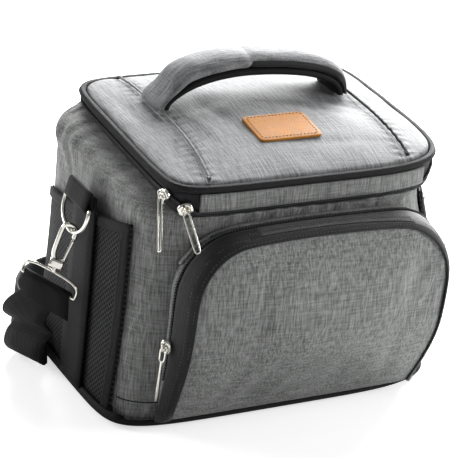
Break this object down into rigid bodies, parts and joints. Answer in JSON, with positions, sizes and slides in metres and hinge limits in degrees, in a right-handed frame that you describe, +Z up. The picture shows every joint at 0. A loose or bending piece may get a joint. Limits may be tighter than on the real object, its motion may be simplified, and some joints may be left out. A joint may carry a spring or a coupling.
{
  "type": "travel bag",
  "caption": "Padded box-shaped travel bag with a zipped lid, top handle, bulging front pocket, mesh side pockets, leather patch and a clip-on shoulder strap.",
  "frame": {"origin": "on the floor, under the middle of the base", "axes": "+Z up, +X across the bag to its right side, -Y the side of the front pocket"},
  "size_m": [0.4298, 0.3515, 0.2886],
  "materials": {
    "heather_cloth": "matte heather grey weave with fine vertical streaks",
    "black_cloth": "matte black webbing and tape",
    "mesh_cloth": "open black diagonal net",
    "nickel": "polished nickel plating",
    "tan_leather": "smooth tan leather with an edge stitch"
  },
  "bodies": {
    "bag": {"body_shell": "heather_cloth", "base_binding": "black_cloth", "lid_panel": "heather_cloth", "lid_piping": "black_cloth", "zip_band": "black_cloth", "lid_zip": "black_cloth", "lid_front_strip": "heather_cloth", "lid_seam_left": "black_cloth", "lid_seam_right": "black_cloth", "handle_grip": "heather_cloth", "handle_webbing": "black_cloth", "leather_patch": "tan_leather", "front_pocket": "heather_cloth", "pocket_band": "black_cloth", "pocket_zip": "black_cloth", "pocket_gusset": "heather_cloth", "mesh_pocket_left": "mesh_cloth", "mesh_pocket_right": "mesh_cloth", "mesh_binding_left": "black_cloth", "mesh_binding_right": "black_cloth", "side_webbing_left": "black_cloth", "side_webbing_right": "black_cloth", "ring_tab_left": "black_cloth", "ring_tab_right": "black_cloth", "d_ring_left": "nickel", "d_ring_right": "nickel", "hook_left": "nickel", "hook_right": "nickel", "strap_loop_left": "nickel", "strap_loop_right": "nickel", "shoulder_strap": "black_cloth", "slider_side": "nickel", "slider_front": "nickel", "slider_pocket": "nickel"},
    "side_puller": {"puller_side": "nickel"},
    "front_puller": {"puller_front": "nickel"},
    "pocket_puller": {"puller_pocket": "nickel"},
    "left_gate": {"hook_gate_left": "nickel"},
    "right_gate": {"hook_gate_right": "nickel"}
  },
  "joints": [
    {"name": "side_puller_swing", "type": "hinge", "parent": "bag", "child": "side_puller", "pos_m": [-0.14208, -0.09608, 0.21063], "axis": [-0.246, 0.913, -0.3256], "range_deg": [0, 85]},
    {"name": "front_puller_swing", "type": "hinge", "parent": "bag", "child": "front_puller", "pos_m": [-0.12842, -0.11503, 0.2028], "axis": [-0.7805, 0.4606, -0.4226], "range_deg": [0, 75]},
    {"name": "pocket_puller_swing", "type": "hinge", "parent": "bag", "child": "pocket_puller", "pos_m": [-0.1448, -0.12603, 0.08627], "axis": [-0.4997, 0.8655, 0.0349], "range_deg": [0, 90]},
    {"name": "left_gate_press", "type": "hinge", "parent": "bag", "child": "left_gate", "pos_m": [-0.19296, -0.01511, 0.1204], "axis": [-0.4951, -0.8575, 0.1401], "range_deg": [0, 18], "stiffness_Nm_per_rad": 0.002},
    {"name": "right_gate_press", "type": "hinge", "parent": "bag", "child": "right_gate", "pos_m": [0.17424, 0.00689, 0.12775], "axis": [-0.4951, 0.8575, -0.1401], "range_deg": [0, 18], "stiffness_Nm_per_rad": 0.002}
  ]
}
